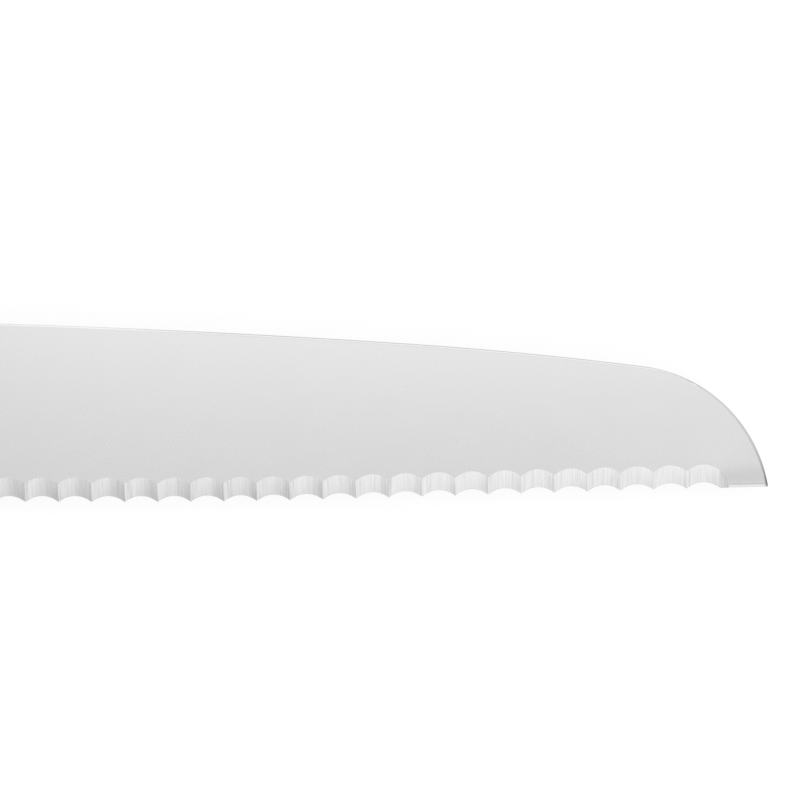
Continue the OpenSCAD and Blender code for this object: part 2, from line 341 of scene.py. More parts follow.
for k in range(shoulder_steps + 1):
    leaning(first_cusp - shoulder_width * (1 - k / shoulder_steps), shoulder=1)
for k in range(1, flute_count * flute_steps):
    leaning(first_cusp + flute_pitch * k / flute_steps, fluted=1)
for k in range(shoulder_steps + 1):
    leaning(last_cusp + shoulder_width * k / shoulder_steps, shoulder=1)
edge_at_point = edge_v(point_start)
point_slope = (tip_lift - edge_at_point) / (blade_length - point_start)
lean_at_point = math.tan(edge_rise) * (1 - (point_start - last_cusp) / plain_point)
hone_start = rib_width / (blade_length - point_start)
hone_full = (rib_width + hone_run) / (blade_length - point_start)
point_shares = [0, hone_start, (hone_start + hone_full) / 2, hone_full]
tip_turn = math.radians(84)  # the stations crowd towards the tip, as on an arc this long
for k in range(1, point_steps + 1):
    way = (1 - hone_full) * math.sin(tip_turn * k / point_steps) / math.sin(tip_turn)
    point_shares.append(hone_full + way)
for share in point_shares:
    u = point_start + (blade_length - point_start) * share
    v = edge_at_point + (u - point_start) * point_slope
    above = spine_over(u, v, lean_at_point * (1 - share)) if share < 1 else tip
    honed = min(max((share - hone_start) / (hone_full - hone_start), 0), 1)
    station((u, v), above, pointed=1, honed=honed)

blank = bpy.data.meshes.new("blank outline")
blank.from_pydata([(*s[0], 0) for s in stations] + [(*s[1], 0) for s in stations], [], [])
for column, grinding in enumerate(grindings, 2):
    flags = blank.attributes.new(grinding, "FLOAT", "POINT")
    flags.data.foreach_set("value", [float(s[column]) for s in stations] * 2)


class Figure:
    """A number worked out in a node tree. Sums of figures become Math nodes."""

    def __init__(self, tree, socket):
        self.tree = tree
        self.socket = socket

    def work(self, operation, *numbers):
        node = self.tree.nodes.new("ShaderNodeMath")
        node.operation = operation
        for slot, number in zip(node.inputs, numbers):
            if isinstance(number, Figure):
                self.tree.links.new(number.socket, slot)
            else:
                slot.default_value = number
        return Figure(self.tree, node.outputs[0])

    def __add__(self, other):
        return self.work("ADD", self, other)

    def __radd__(self, other):
        return self.work("ADD", other, self)

    def __sub__(self, other):
        return self.work("SUBTRACT", self, other)

    def __rsub__(self, other):
        return self.work("SUBTRACT", other, self)

    def __mul__(self, other):
        return self.work("MULTIPLY", self, other)

    def __rmul__(self, other):
        return self.work("MULTIPLY", other, self)

    def __truediv__(self, other):
        return self.work("DIVIDE", self, other)

    def root(self):
        return self.work("SQRT", self.work("MAXIMUM", self, 0))

    def least(self, other):
        return self.work("MINIMUM", self, other)

    def most(self, other):
        return self.work("MAXIMUM", self, other)

    def whole(self):
        return self.work("FLOOR", self)

    def above(self, other):
        return self.work("GREATER_THAN", self, other)

    def sine(self):
        return self.work("SINE", self)

    def cosine(self):
        return self.work("COSINE", self)

    def power(self, other):
        return self.work("POWER", self, other)

    def between(self, first, last):
        """1 where a whole number lies from first to last, and 0 elsewhere."""
        return self.above(first - 0.5) * (1 - self.above(last + 0.5))

    def share(self, start, end):
        """How far the figure is on the way from start to end, between 0 and 1."""
        return ((self - start) / (end - start)).most(0).least(1)

    def pick(self, where_one, where_zero):
        return where_zero + self * (where_one - where_zero)


def new_tree(name, sizes):
    """An empty geometry tree with a named input for each size, and its figures by name."""
    tree = bpy.data.node_groups.new(name, "GeometryNodeTree")
    tree.interface.new_socket("Geometry", in_out="INPUT", socket_type="NodeSocketGeometry")
    tree.interface.new_socket("Geometry", in_out="OUTPUT", socket_type="NodeSocketGeometry")
    for size_name, value in sizes.items():
        socket = tree.interface.new_socket(
            size_name, in_out="INPUT", socket_type="NodeSocketFloat")
        socket.default_value = value
    start = tree.nodes.new("NodeGroupInput")
    figures = {size_name: Figure(tree, start.outputs[size_name]) for size_name in sizes}
    return tree, start.outputs["Geometry"], figures


def add_node(tree, kind, settings=None, **sockets):
    """A node with its settings made and its inputs linked or set; spaces in names become _."""
    node = tree.nodes.new(kind)
    for setting, value in (settings or {}).items():
        setattr(node, setting, value)
    for socket_name, value in sockets.items():
        slot = node.inputs[socket_name.replace("_", " ")]
        if isinstance(value, Figure):
            tree.links.new(value.socket, slot)
        elif isinstance(value, bpy.types.NodeSocket):
            tree.links.new(value, slot)
        else:
            slot.default_value = value
    return node


def grown(name, base, tree, sizes):
    """The plain mesh that a tree grows from a base mesh, as a finished object."""
    seed = bpy.data.objects.new(name + "_base", base)
    bpy.context.scene.collection.objects.link(seed)
    modifier = seed.modifiers.new(name, "NODES")
    modifier.node_group = tree
    for item in tree.interface.items_tree:
        if item.in_out == "INPUT" and item.name in sizes:
            modifier[item.identifier] = float(sizes[item.name])
    bpy.context.view_layer.update()
    whole = seed.evaluated_get(bpy.context.evaluated_depsgraph_get())
    mesh = bpy.data.meshes.new_from_object(whole)
    piece = bpy.data.objects.new(name, mesh)
    bpy.context.scene.collection.objects.link(piece)
    bpy.data.objects.remove(seed)
    return piece


blade_sizes = {
    "Stations": len(stations),
    "Stock thickness": stock,
    "Edge thickness": edge_thickness,
    "Thickening up": (spine_thickness - edge_thickness) / heel_height,
    "Thinning along": point_taper / blade_length,
    "Plunge": plunge,
    "Plain edge": plain_edge,
    "Sharp edge": sharp_edge,
    "Bevel height": bevel_height,
    "Land reach": 5.0,
    "Land fade": 6,
    "First cusp": first_cusp,
    "Last cusp": last_cusp,
    "Flute pitch": flute_pitch,
    "Scallop depth": scallop_depth,
    "Cusp lift": cusp_lift,
    "Grind angle": grind_angle,
    "Shoulder angle": shoulder_angle,
    "Shoulder width": shoulder_width,
    "Spine roll": 0.45,
    "Spine roll depth": 0.25,
    "Roll support": 0.3,
    "Nose easing": 0.75,
    "Nose easing depth": 0.55,
    "Nose clearance": 0.05,
    "Square edge easing": 0.15,
    "Least steel": 0.03,
}
tree, blank_points, size = new_tree("blade grinding", blade_sizes)

# Rows round the section: up the right side, over the spine and down the left side
row_ends = {"low": 2, "mid flute": 8, "flute top": 13, "land top": 17, "near top": 26,
            "face top": 27, "nose facet": 30, "right roll": 37, "left roll": 44, "left low": 53}
row_count = row_ends["left low"] + 2
land_rows_to = 8  # rows stand close up to this height above the cusps,
least_land_rows = 0.5  # and at least so far up from the edge
above_bevel = 0.6
least_gap = 0.1
land_slope = 0.146
plunge_run = 1.5
roll_lost_on_nose = 0.7  # within its first third
roll_lost_in_handle = 0.75
roll_fade = 4  # over which it is lost, just ahead of the handle
marked_from = 0.7  # share of a note from which a place counts as marked


# The next functions work on the tree in hand
def new_grid(column_count, row_count):
    """A grid of points, and the column and row of each as figures."""
    grid = add_node(tree, "GeometryNodeMeshGrid", Vertices_X=column_count, Vertices_Y=row_count)
    index = Figure(tree, add_node(tree, "GeometryNodeInputIndex").outputs[0])
    column = ((index + 0.5) / row_count).whole()
    return grid.outputs["Mesh"], column, index - column * row_count


def noted(name):
    """A figure that a mesh's points carry under a name."""
    note = add_node(tree, "GeometryNodeInputNamedAttribute", {"data_type": "FLOAT"}, Name=name)
    return Figure(tree, note.outputs[0])


def sampled(points, kind, value, number):
    """What one point of the base mesh has as a value."""
    node = add_node(tree, "GeometryNodeSampleIndex", {"data_type": kind, "domain": "POINT"},
                    Geometry=points, Value=value, Index=number)
    return node.outputs[0]


def parts_of(vector):
    split = add_node(tree, "ShaderNodeSeparateXYZ", Vector=vector)
    return [Figure(tree, output) for output in split.outputs]


def own_place():
    return add_node(tree, "GeometryNodeInputPosition").outputs[0]


def place_of(points, number):
    """u and v of one point of the base mesh."""
    return parts_of(sampled(points, "FLOAT_VECTOR", own_place(), number))[:2]


grid, number, row = new_grid(len(stations), row_count)
low_u, low_v = place_of(blank_points, number)
high_u, high_v = place_of(blank_points, number + size["Stations"])
fluted, shoulder, pointed, square, honed = [
    Figure(tree, sampled(blank_points, "FLOAT", noted(name), number)) for name in grindings]
height = ((high_u - low_u) * (high_u - low_u) + (high_v - low_v) * (high_v - low_v)).root()
up_u = (high_u - low_u) / height.most(0.0001)
up_v = (high_v - low_v) / height.most(0.0001)


def cusp_line_v(u):
    """Height of the line of cusps at u: level, a slow arc, then straight."""
    bend = (u - belly_start).most(0).least(belly_end - belly_start)
    rise = bend * bend / (belly_radius + (belly_radius**2 - bend * bend).root())
    return rise + (u - belly_end).most(0) * math.tan(edge_rise)


# Across the flute: a circle's arc between two cusps, and a flat shoulder beyond the last ones
lift_here = low_v - cusp_line_v(low_u)
edge_here = size["Edge thickness"] - size["Thinning along"] * low_u \
    + size["Thickening up"] * cusp_line_v(low_u)
half_wedge = size["Thickening up"] * 0.5
lean_in = size["Grind angle"].sine() + size["Grind angle"].cosine() * half_wedge
flute_rise = size["Scallop depth"] * lean_in
half_pitch = size["Flute pitch"] * 0.5
wheel_radius = (half_pitch * half_pitch + flute_rise * flute_rise) / (flute_rise * 2)
along = (low_u - size["First cusp"]) / size["Flute pitch"]
across = (along - along.whole() - 0.5) * size["Flute pitch"]
arc_height = wheel_radius - (wheel_radius * wheel_radius - across * across).root()
beyond = (size["First cusp"] - low_u).most(low_u - size["Last cusp"]).most(0)
shoulder_height = flute_rise + beyond * (size["Shoulder angle"].sine() /
                                         size["Shoulder angle"].cosine())
wheel_height = fluted.pick(arc_height, shoulder_height) / size["Grind angle"].cosine()
crown = size["Cusp lift"] + size["Scallop depth"]
climb = size["Grind angle"].sine() / size["Grind angle"].cosine()
wheel_start = wheel_height - edge_here * 0.5 - half_wedge * crown - crown * climb

# Down to the edge: the steel thins in a slow curve to the plain edge at both ends
plainness = (size["Land fade"] - (low_u - size["First cusp"])).most(
    low_u - size["Last cusp"] + size["Land fade"]).share(0, size["Land fade"])
thinning = (edge_here - size["Plain edge"]) * plainness


def meets_face(start, slope):
    """Height at which a rising cut comes out of the thinned face."""
    reach = size["Land reach"]
    bend = thinning / (reach * reach)
    steep = slope - half_wedge - thinning * 2 / reach
    gap = edge_here * 0.5 - thinning - start
    return gap * 2 / (steep + (steep * steep + bend * gap * 4).root())


flute_bottom = (crown - wheel_height / (climb + half_wedge)).most(0) * fluted
flute_top = meets_face(wheel_start, climb)
bevel_slope = (size["Plain edge"] - size["Sharp edge"] + size["Bevel height"] * land_slope) \
    / size["Bevel height"]
unhoned = (1 - honed) * (size["Plain edge"] - size["Sharp edge"])
bevel_start = size["Sharp edge"] + unhoned - edge_here * 0.5
line_lift = pointed * lift_here
bevel_top = meets_face(bevel_start - bevel_slope * line_lift, bevel_slope)
ground = fluted.most(shoulder)

# The nose is eased on the right side by a cone whose width grows from nothing to the tip
nose_reach = math.hypot(tip[0] - nose_middle[0], tip[1] - nose_middle[1])
tip_way = ((tip[0] - nose_middle[0]) / nose_reach, (tip[1] - nose_middle[1]) / nose_reach)
start_way = ((nose_point[0] - nose_middle[0]) / nose_radius,
             (nose_point[1] - nose_middle[1]) / nose_radius)
opening = 1 - (tip_way[0] * start_way[0] + tip_way[1] * start_way[1])
cone_shift = (size["Nose easing"] + size["Nose clearance"]) / opening
cone_u = nose_middle[0] - cone_shift * tip_way[0]
cone_v = nose_middle[1] - cone_shift * tip_way[1]
cone_radius = nose_radius + cone_shift - size["Nose easing"]
on_nose = high_u.above(nose_start)


def crosses(middle_u, middle_v, radius):
    """Height at which this station's line leaves a circle."""
    from_u = low_u - middle_u
    from_v = low_v - middle_v
    toward = from_u * up_u + from_v * up_v
    left = toward * toward - from_u * from_u - from_v * from_v + radius * radius
    return (left.root() - toward) * left.above(0)


nose_share = (high_u - nose_start).share(0, nose_length)
to_handle = (high_u - (grip_start + roll_fade)) * -1
roll_size = (1 - (nose_share * 3).least(1) * roll_lost_on_nose) \
    * (1 - to_handle.share(0, roll_fade) * roll_lost_in_handle)
roll = size["Spine roll"] * roll_size
roll_depth = size["Spine roll depth"] * roll_size * height.above(0.001)
nose_roll_start = crosses(nose_middle[0], nose_middle[1], nose_radius - roll)
roll_start = on_nose.pick(nose_roll_start, height - roll).most(0).least(height)
cone_start = on_nose.pick(crosses(cone_u, cone_v, cone_radius), height)
face_top = cone_start.least(roll_start - size["Roll support"]).most(0)
land_top = (land_rows_to - lift_here).most(least_land_rows).least(face_top)
low_ease = square * size["Square edge easing"]
start_up = flute_bottom + low_ease
cut_top = ground.pick(flute_top, bevel_top - lift_here + above_bevel)
cut_top = cut_top.most(low_ease + 2 * least_gap).least(land_top)
mid_cut = ground.pick((flute_bottom + flute_top) * 0.5, bevel_top - lift_here)
mid_cut = mid_cut.most(low_ease + least_gap).least(cut_top)
near_top = (face_top - size["Roll support"]).most(land_top)


def stretch(first, last):
    return row.share(row_ends[first], row_ends[last])


def eased(share):
    """Even steps turned into steps that crowd towards the end of a round edge."""
    return (share * (math.pi / 2)).sine()


# How far up its station's line each point is
stops = [("low", start_up), ("mid flute", mid_cut), ("flute top", cut_top),
         ("land top", land_top), ("near top", near_top), ("face top", face_top),
         ("nose facet", roll_start)]
climbed = start_up * row.above(1.5) + flute_bottom * (1 - row.above(1.5))
for (first, lower), (last, upper) in zip(stops, stops[1:]):
    climbed = climbed + (upper - lower) * stretch(first, last)
climbed = climbed + (height - roll_start) * eased(stretch("nose facet", "right roll"))
left_roll = 1 - eased(1 - stretch("right roll", "left roll"))
climbed = climbed - (height - roll_start) * left_roll
climbed = climbed - (roll_start - start_up) * stretch("left roll", "left low")
is_closing = row.above(row_ends["left low"] + 0.5)
climbed = is_closing.pick(flute_bottom, climbed)
point_u = low_u + up_u * climbed
point_v = low_v + up_v * climbed

# Heights of the two sides at this place
wedge = size["Edge thickness"] + size["Thickening up"] * point_v - size["Thinning along"] * point_u
unground = ((point_u + size["Plunge"]) * -1).share(0, plunge_run)
unground = unground * unground * (3 - unground * 2)
half_thick = unground.pick(size["Stock thickness"], wedge) * 0.5
edge_away = point_v - cusp_line_v(point_u)
curve_in = (1 - edge_away / size["Land reach"]).most(0).least(1)
face_z = half_thick - thinning * curve_in * curve_in
wheel_z = wheel_start + climb * climbed
bevel_away = pointed.pick(climbed, edge_away)
bevel_z = bevel_start + bevel_slope * bevel_away
right_z = face_z.least(ground.pick(wheel_z, bevel_z))
from_cone_u = point_u - cone_u
from_cone_v = point_v - cone_v
past_cone = (from_cone_u * from_cone_u + from_cone_v * from_cone_v).root() - cone_radius
facet_fall = size["Nose easing depth"] / size["Nose easing"]
right_z = right_z.least(half_thick - past_cone.most(0) * facet_fall * on_nose)
from_nose_u = point_u - nose_middle[0]
from_nose_v = point_v - nose_middle[1]
nose_away = nose_radius - (from_nose_u * from_nose_u + from_nose_v * from_nose_v).root()
outline_away = on_nose.pick(nose_away, height - climbed).most(0)
into_roll = (1 - outline_away / roll.most(0.001)).most(0).least(1)
roll_fall = roll_depth * (1 - (1 - into_roll * into_roll).root())
left_z = half_thick * -1 + roll_fall
right_z = (right_z - roll_fall).most(left_z + size["Least steel"])
is_right = 1 - row.above(row_ends["right roll"] + 0.5)
height_z = is_right.pick(right_z, left_z)
height_z = row.above(0.5).pick(height_z, left_z + low_ease)
height_z = height_z - row.between(1, 1) * low_ease
height_z = is_closing.pick(left_z + low_ease, height_z)

mm = 0.001


def laid_out(geometry, x, y, z):
    """Puts each point of a mesh at its own x, y and z."""
    place = add_node(tree, "ShaderNodeCombineXYZ", X=x, Y=y, Z=z)
    node = add_node(tree, "GeometryNodeSetPosition", Geometry=geometry, Position=place.outputs[0])
    return node.outputs[0]


def noting(geometry, name, figure, kind="FLOAT", domain="POINT"):
    """Writes a figure on a mesh under a name."""
    node = add_node(tree, "GeometryNodeStoreNamedAttribute", {"data_type": kind, "domain": domain},
                    Geometry=geometry, Name=name, Value=figure)
    return node.outputs[0]


def welded(geometry, distance):
    """Joins the points that touch."""
    node = add_node(tree, "GeometryNodeMergeByDistance", Geometry=geometry, Distance=distance)
    return node.outputs[0]


def shaded(geometry, degrees):
    """Shades a mesh smooth, but for the edges that bend by more than an angle."""
    smooth = add_node(tree, "GeometryNodeSetShadeSmooth", Geometry=geometry)
    bend = Figure(tree, add_node(tree, "GeometryNodeInputMeshEdgeAngle").outputs[0])
    return noting(smooth.outputs[0], "sharp_edge", bend.above(math.radians(degrees)),
                  "BOOLEAN", "EDGE")


ground_steel = laid_out(grid, (point_u - row_origin[0]) * mm, (point_v - row_origin[1]) * mm,
                        (height_z - row_origin[2]) * mm)
hone_row = row_ends["mid flute"]
up_flute = ((climbed - flute_bottom) / (flute_top - flute_bottom).most(0.1)).most(0).least(1)
notes = {
    "flute": ground * row.between(2, row_ends["flute top"]),
    "bevel": honed.above(marked_from) * (1 - ground) * (1 - square.above(0))
             * row.between(1, hone_row),
    "rim": row.between(row_ends["face top"], row_ends["left roll"]),
    "up flute": up_flute,
    "nose": nose_share,
    "shoulder": (beyond / size["Shoulder width"]).least(1) * shoulder,
    "hone shade line": honed * (1 - ground) * row.between(hone_row, hone_row + 2),
    "rim edge": into_roll,
    "across flute": across / half_pitch * fluted,
}
for name, figure in notes.items():
    ground_steel = noting(ground_steel, name, figure)
ground_steel = shaded(welded(ground_steel, 0.003 * mm), 14)

# Finishes of the steel. Each starts as plain bright metal; lines and tones are laid over it.
steel_grey = 0.57


class Finish:
    """A metal or plastic finish in the making: its tree, its shader and its coordinates in mm."""

    def __init__(self, name, metallic, roughness):
        self.material = bpy.data.materials.new(name)
        self.material.use_nodes = True
        self.tree = self.material.node_tree
        self.shader = self.tree.nodes["Principled BSDF"]
        self.shader.inputs["Metallic"].default_value = metallic
        self.shader.inputs["Roughness"].default_value = roughness
        where = self.tree.nodes.new("ShaderNodeTexCoord").outputs["Object"]
        split = add_node(self.tree, "ShaderNodeSeparateXYZ", Vector=where)
        self.x, self.y, self.z = [Figure(self.tree, o) * 1000 for o in split.outputs]

    def noise(self, x, y, z, detail=2.0, roughness=0.5):
        """Noise between 0 and 1 whose grains are about one unit of x, y and z."""
        place = add_node(self.tree, "ShaderNodeCombineXYZ", X=x, Y=y, Z=z)
        grain = add_node(self.tree, "ShaderNodeTexNoise", Vector=place.outputs[0], Scale=1.0,
                         Detail=detail, Roughness=roughness)
        return Figure(self.tree, grain.outputs["Fac"])

    def grain(self, x, y, z, detail=2.0, roughness=0.5):
        """Noise that lies along the axes, with so many grains to the millimetre on each."""
        return self.noise(self.x * x, self.y * y, self.z * z, detail, roughness)

    def attribute(self, name):
        node = self.tree.nodes.new("ShaderNodeAttribute")
        node.attribute_name = name
        return Figure(self.tree, node.outputs["Fac"])

    def grey(self, tone):
        """Sets the colour to a grey whose brightness is a figure."""
        mix = add_node(self.tree, "ShaderNodeCombineColor", Red=tone, Green=tone, Blue=tone)
        self.tree.links.new(mix.outputs[0], self.shader.inputs["Base Color"])

    def relief(self, height, depth_mm):
        """Lets a figure between 0 and 1 raise the surface by up to a depth."""
        bump = add_node(self.tree, "ShaderNodeBump", Height=height, Strength=1.0,
                        Distance=depth_mm / 1000)
        self.tree.links.new(bump.outputs[0], self.shader.inputs["Normal"])

    def rough(self, figure):
        self.tree.links.new(figure.socket, self.shader.inputs["Roughness"])


# Faces of the blade: fine slanting lines left by the grinding belt, hardly to be seen. A painted
# highlight lightens them a touch low down at the point, and a line of painted shade runs dark over
# the honed bevel.
belt_slant = math.radians(56)
face_finish = Finish("belt-ground steel face", 1, 0.27)
run = face_finish.x * math.cos(belt_slant) + face_finish.y * math.sin(belt_slant)
over = face_finish.y * math.cos(belt_slant) - face_finish.x * math.sin(belt_slant)
lines = face_finish.noise(over * 1.9, run * 0.07, face_finish.z * 0.2, 3.0, 0.6)
hair_lines = face_finish.noise(over * 6.5, run * 0.11, face_finish.z * 0.2, 2.0, 0.6)
clouds = face_finish.grain(0.09, 0.14, 0.1)
# painted shade: a dark line just over the honed bevel
painted_hone_shade = face_finish.attribute("hone shade line") * 0.20
# painted highlight: the face is a touch lighter low down at the point
point_highlight_span = face_finish.x.share(125, 165) * (1 - face_finish.x.share(171, 182) * 0.8)
point_highlight_low = (1 - face_finish.y.share(-10, 2)) * face_finish.y.share(-17, -15)
face_finish.grey(steel_grey * (1 + (lines - 0.5) * 0.018 + (hair_lines - 0.5) * 0.008
                               + (clouds - 0.5) * 0.022 + point_highlight_span * point_highlight_low * 0.033 - painted_hone_shade))
face_finish.rough(0.27 + (hair_lines - 0.5) * 0.03 + (clouds - 0.5) * 0.04)
face_finish.relief(lines * 0.7 + hair_lines * 0.3, 0.00012)

# Flutes: streaks up and down, where the wheel's grains ran. Painted light and shade lie over them:
# each flute is painted lighter towards its top, with painted glints there, painted shade darkens
# them towards the heel, and the shoulders that close the row get painted shade.
flute_finish = Finish("wheel-ground flute", 1, 0.25)
streaks = flute_finish.grain(1.7, 0.06, 0.05, 3.0, 0.65)
fine_streaks = flute_finish.grain(4.2, 0.10, 0.05, 2.0, 0.6)
deep = (0.42 - streaks).most(0)
liveliness = 0.5 + flute_finish.grain(0.16, 0.02, 0)
way_up = flute_finish.attribute("up flute")
# painted glints near the top of each flute
glints = (flute_finish.grain(1.4, 1.4, 0) - 0.5).most(0) * way_up * 0.35
# painted shade: the flutes darken towards the heel, more so low down
toward_heel = (95 - flute_finish.x).share(0, 42)
painted_shade_to_heel = toward_heel * (0.08 + (0.5 - way_up) * 0.05)
out_shoulder = flute_finish.attribute("shoulder")
is_shoulder = out_shoulder.above(0.01)
# painted shade on the shoulders, with a darker painted line along their top
painted_shoulder_top_shade = way_up.share(0.8, 1) * 0.06
painted_shoulder_shade = is_shoulder * (out_shoulder * 0.13 + (out_shoulder * 4).least(1) * 0.08 - 0.05
                               + painted_shoulder_top_shade)
toward_tip = flute_finish.attribute("across flute")
scratches = (0.44 - fine_streaks).most(0) * toward_tip * toward_tip * 1.4
streaking = (streaks - 0.5) * 0.12 + (fine_streaks - 0.5) * 0.42 - deep * 0.22 - scratches
# painted light and shade over each flute: lighter towards its top, with a tone that shifts across
# it from heel side to tip side
painted_flute_shading = (way_up - 0.45) * (0.07 + toward_tip * 0.09) + 0.004 - toward_tip * 0.013
painted_flute_shading = painted_flute_shading * (1 - is_shoulder)
flute_finish.grey(steel_grey * (1.03 + streaking * liveliness + glints + painted_flute_shading - painted_shade_to_heel
                                - painted_shoulder_shade))
flute_finish.rough(0.31 + (fine_streaks - 0.5) * 0.10)
flute_finish.relief(streaks * 0.7 + fine_streaks * 0.3, 0.003)

# The honed bevel at the plain ends is painted bright, a painted highlight, with lines along the
# edge
bevel_finish = Finish("honed bevel", 1, 0.30)
bevel_lines = bevel_finish.grain(0.15, 9, 9)
# painted highlight: the bevel's colour is raised well above the steel's grey
bevel_finish.grey(steel_grey * (1.38 + (bevel_lines - 0.5) * 0.14))
bevel_finish.relief(bevel_lines, 0.002)

# The rim of spine, nose and tang is belt-ground. Painted highlights lighten it over the heel and
# on the nose's bow, and painted shade darkens its inner side up to half way along the nose and
# paints the very tip nearly black.
rim_finish = Finish("belt-ground rim", 1, 0.34)
rim_lines = rim_finish.grain(0.12, 5, 11)
along_nose = rim_finish.attribute("nose")
# painted shade: the very tip is painted nearly black
painted_tip_shade = along_nose.power(22)
on_bow = along_nose.share(0.15, 0.35) * (1 - along_nose.share(0.65, 0.8))
over_heel = (44 - rim_finish.x).share(0, 30)
outermost = rim_finish.attribute("rim edge")
# painted highlights over the heel and on the nose's bow, and painted shade on the rim's inner side
painted_rim_highlight = over_heel * (0.06 + outermost * 0.30) + on_bow * (0.07 + outermost * 0.10)
painted_rim_shade = (1 - outermost) * (1 - along_nose.share(0.44, 0.5)) \
    * (0.045 + along_nose.share(0.12, 0.38) * 0.09)
rim_finish.grey(steel_grey * (1.03 + painted_rim_highlight - painted_rim_shade + (rim_lines - 0.5) * 0.08)
                * (1 - painted_tip_shade * 0.96))
rim_finish.relief(rim_lines, 0.003)


def end_tree(geometry, finish, **partial):
    """Ends the tree with a finish, and with others on the faces that a note of theirs marks."""
    geometry = add_node(tree, "GeometryNodeRealizeInstances", Geometry=geometry).outputs[0]
    geometry = add_node(tree, "GeometryNodeSetMaterial", Geometry=geometry,
                        Material=finish.material).outputs[0]
    for note, other in partial.items():
        geometry = add_node(tree, "GeometryNodeSetMaterial", Geometry=geometry,
                            Material=other.material,
                            Selection=noted(note).above(marked_from)).outputs[0]
    add_node(tree, "NodeGroupOutput", Geometry=geometry)


end_tree(ground_steel, face_finish, rim=rim_finish, bevel=bevel_finish, flute=flute_finish)
blade = grown("steel_blade", blank, tree, blade_sizes)
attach(blade, "root")
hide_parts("blade")

# The handle's two scales are black moulded plastic, one on each side of the tang. Each has the
# tang's outline, a straight wall, a rounded edge, and three stepped holes for the rivets.
scale_thickness = 7.2
scale_round = 3.5
scale_front_round = 4.0
grip_z = scale_thickness + stock / 2
rivet_inset = 18
rivet_gap = 37
rivet_head = 8
rivet_head_height = 2
rivet_shank = 5
rivet_pin = 3
rivet_fit = 0.05
rivet_end_gap = 0.4
front_steps = 8
round_gap = 0.5
flat_rim = 0.3
drill_sides = 72
head_overrun = 2
shank_overrun = 1

rivet_places = []
for k in range(3):
    u = grip_start - rivet_inset - k * rivet_gap
    rivet_places.append((u, (spine_v(u) + palm_v(u)) / 2, 0))

# The outline runs along the underside to the front, and back along the top to the butt
under_line = [(u, palm_v(u)) for u in grip_us]
back_line = [(u, spine_v(u)) for u in grip_us]
front_low = rounded(under_line[-2], under_line[-1], back_line[-1],
                    scale_front_round, front_steps)
front_high = rounded(under_line[-1], back_line[-1], back_line[-2],
                     scale_front_round, front_steps)


def half_ring(rear, line, front):
    """Half the outline: round the rear corner, along the line and round the front corner."""
    between = [p for p in line[1:] if p[0] < front[0][0] - round_gap]
    return rear[::-1] + between + front


def filled_up(line, count):
    """Halves the stretch before the front corner until the line has so many points."""
    while len(line) < count:
        before, after = line[-front_steps - 2:-front_steps]
        line.insert(-front_steps - 1, tuple((a + b) / 2 for a, b in zip(before, after)))
    return line


under_half = half_ring(low_corner, under_line, front_low)
back_half = half_ring(top_corner, back_line, front_high[::-1])
half_count = max(len(under_half), len(back_half))
ring = filled_up(under_half, half_count) + filled_up(back_half, half_count)[::-1]
ring = [(max(u, rearmost_u), min(v, highest_v), 0) for u, v in ring]

# Both broad faces are gathered to a ridge line half way between the back and the underside
ridge_rear = grip_end - 2
ridge_front = grip_start - 12
ridge = []
for point, opposite in zip(ring, reversed(ring)):
    u = min(max((point[0] + opposite[0]) / 2, ridge_rear), ridge_front)
    ridge.append((u, (spine_v(u) + palm_v(u)) / 2, 0))

scale_ring = bpy.data.meshes.new("scale outline and rivet places")
scale_ring.from_pydata(ring + ridge + rivet_places, [], [])
is_place = scale_ring.attributes.new("rivet place", "FLOAT", "POINT")
is_place.data.foreach_set("value", [0.0] * len(ring + ridge) + [1.0] * len(rivet_places))

scale_sizes = {
    "Outline points": len(ring),
    "Thickness": scale_thickness,
    "Edge round": scale_round,
    "Tang thickness": stock,
    "Inner chamfer": 0.12,
    "Crown": 0.12,
    "Head hole radius": rivet_head / 2 + rivet_fit,
    "Head hole depth": rivet_head_height,
    "Shank hole radius": rivet_shank / 2 + rivet_fit,
    "Side": 1,
}
tree, ring_points, size = new_tree("moulded scale", scale_sizes)

# Rows of the skin: inner face, wall, rounded edge, a flat rim, and the crowned outer face
scale_rows = {"inner": 1, "chamfer": 2, "wall": 4, "round": 14, "rim": 15, "middle": 21}
skin, column, row = new_grid(len(ring) + 1, scale_rows["middle"] + 1)


def ring_point(number, skip=0):
    """Place of an outline point; numbers run round and round. The ridge follows the outline."""
    turns = (number + 0.5) / size["Outline points"]
    return place_of(ring_points, number - (turns.whole() - skip) * size["Outline points"])


def step(start, end):
    """Unit vector from one place to the next."""
    du = end[0] - start[0]
    dv = end[1] - start[1]
    length = (du * du + dv * dv).root().most(0.000001)
    return du / length, dv / length


here = ring_point(column)
arriving = step(ring_point(column - 1), here)
leaving = step(here, ring_point(column + 1))
square_up = 1 + arriving[0] * leaving[0] + arriving[1] * leaving[1]
inward_u = (arriving[1] + leaving[1]) * -1 / square_up
inward_v = (arriving[0] + leaving[0]) / square_up
middle_u, middle_v = ring_point(column, skip=1)


def part(first, last):
    return row.share(scale_rows[first], scale_rows[last])


